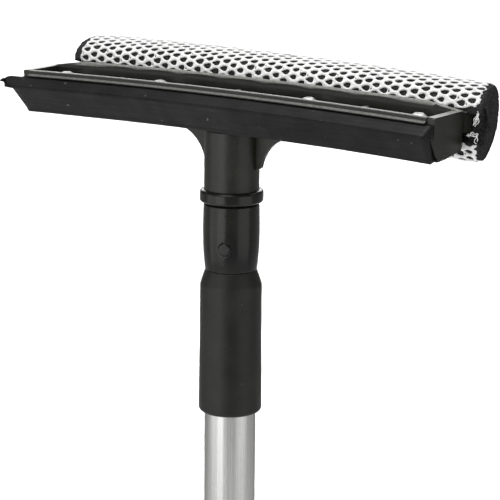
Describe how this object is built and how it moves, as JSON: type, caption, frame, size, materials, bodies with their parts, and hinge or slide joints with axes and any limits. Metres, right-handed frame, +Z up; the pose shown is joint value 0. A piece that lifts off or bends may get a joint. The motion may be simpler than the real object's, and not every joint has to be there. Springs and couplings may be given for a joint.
{
  "type": "window cleaning pole with squeegee and sponge head",
  "caption": "Telescopic aluminium pole with a twist lock and grip, carrying a T-shaped head with a rubber squeegee in front and a net-covered sponge roll behind.",
  "frame": {"origin": "on the pole axis at the bottom face of the end cap", "axes": "+Z up the pole towards the head, -Y the rubber side of the head, +Y the sponge side, X along the head"},
  "size_m": [0.2237, 0.0584, 0.6942],
  "materials": {
    "black_plastic": "satin moulded, fine grain",
    "black_rubber": "matte",
    "foam": "open-cell foam",
    "net": "woven nylon net",
    "aluminium": "satin drawn",
    "steel": "bright zinc-plated",
    "spring_steel": "drawn wire",
    "black_steel": "black oxide",
    "nylon": "natural",
    "grip": "soft matte"
  },
  "bodies": {
    "lower_pole": {"lower_tube": "aluminium", "lock_collet": "black_plastic", "collet_rivets": "steel", "hand_grip": "grip", "end_cap": "black_plastic", "cap_rivet": "steel"},
    "lock_ring": {"lock_collar": "black_plastic"},
    "pole_slider": {"guide_ring": "nylon"},
    "upper_pole": {"upper_tube": "aluminium", "guide_plug": "black_plastic", "plug_rivet": "steel", "tip_plug": "black_plastic", "button_spring": "spring_steel", "ferrule": "black_plastic", "ferrule_rivet": "steel", "adaptor": "black_plastic"},
    "lock_button": {"snap_button": "black_plastic"},
    "head_carrier": {"neck_washer": "black_rubber"},
    "head": {"head_frame": "black_plastic", "blade_rubber": "black_rubber", "clamp_strip": "black_plastic", "clamp_screws": "steel", "clamp_nuts": "steel", "sponge_backer": "black_plastic", "backer_screws": "black_steel", "sponge_core": "foam", "net_cover": "net", "neck_collar": "black_plastic"}
  },
  "joints": [
    {"name": "pole_extension", "type": "slide", "parent": "lower_pole", "child": "pole_slider", "axis": [0, 0, 1], "range_m": [0, 0.31]},
    {"name": "pole_turn", "type": "hinge", "parent": "pole_slider", "child": "upper_pole", "pos_m": [0, 0, 0.3], "axis": [0, 0, 1], "continuous": true},
    {"name": "collar_turn", "type": "hinge", "parent": "lower_pole", "child": "lock_ring", "pos_m": [0, 0, 0.45], "axis": [0, 0, 1], "range_deg": [0, 90]},
    {"name": "button_press", "type": "slide", "parent": "upper_pole", "child": "lock_button", "axis": [-0.3665, 0.9304, 0], "range_m": [0, 0.0032], "stiffness_N_per_m": 900, "springref_m": -0.004, "deforming": ["button_spring"]},
    {"name": "head_rise", "type": "slide", "parent": "upper_pole", "child": "head_carrier", "axis": [0, 0, 1], "range_m": [0, 0.01237]},
    {"name": "head_turn", "type": "hinge", "parent": "head_carrier", "child": "head", "pos_m": [0, 0, 0.6464], "axis": [0, 0, 1], "range_deg": [0, 991]}
  ],
  "couplings": [
    {"joint": "head_turn", "follows": "head_rise", "rad_per_m": 1396.3}
  ]
}
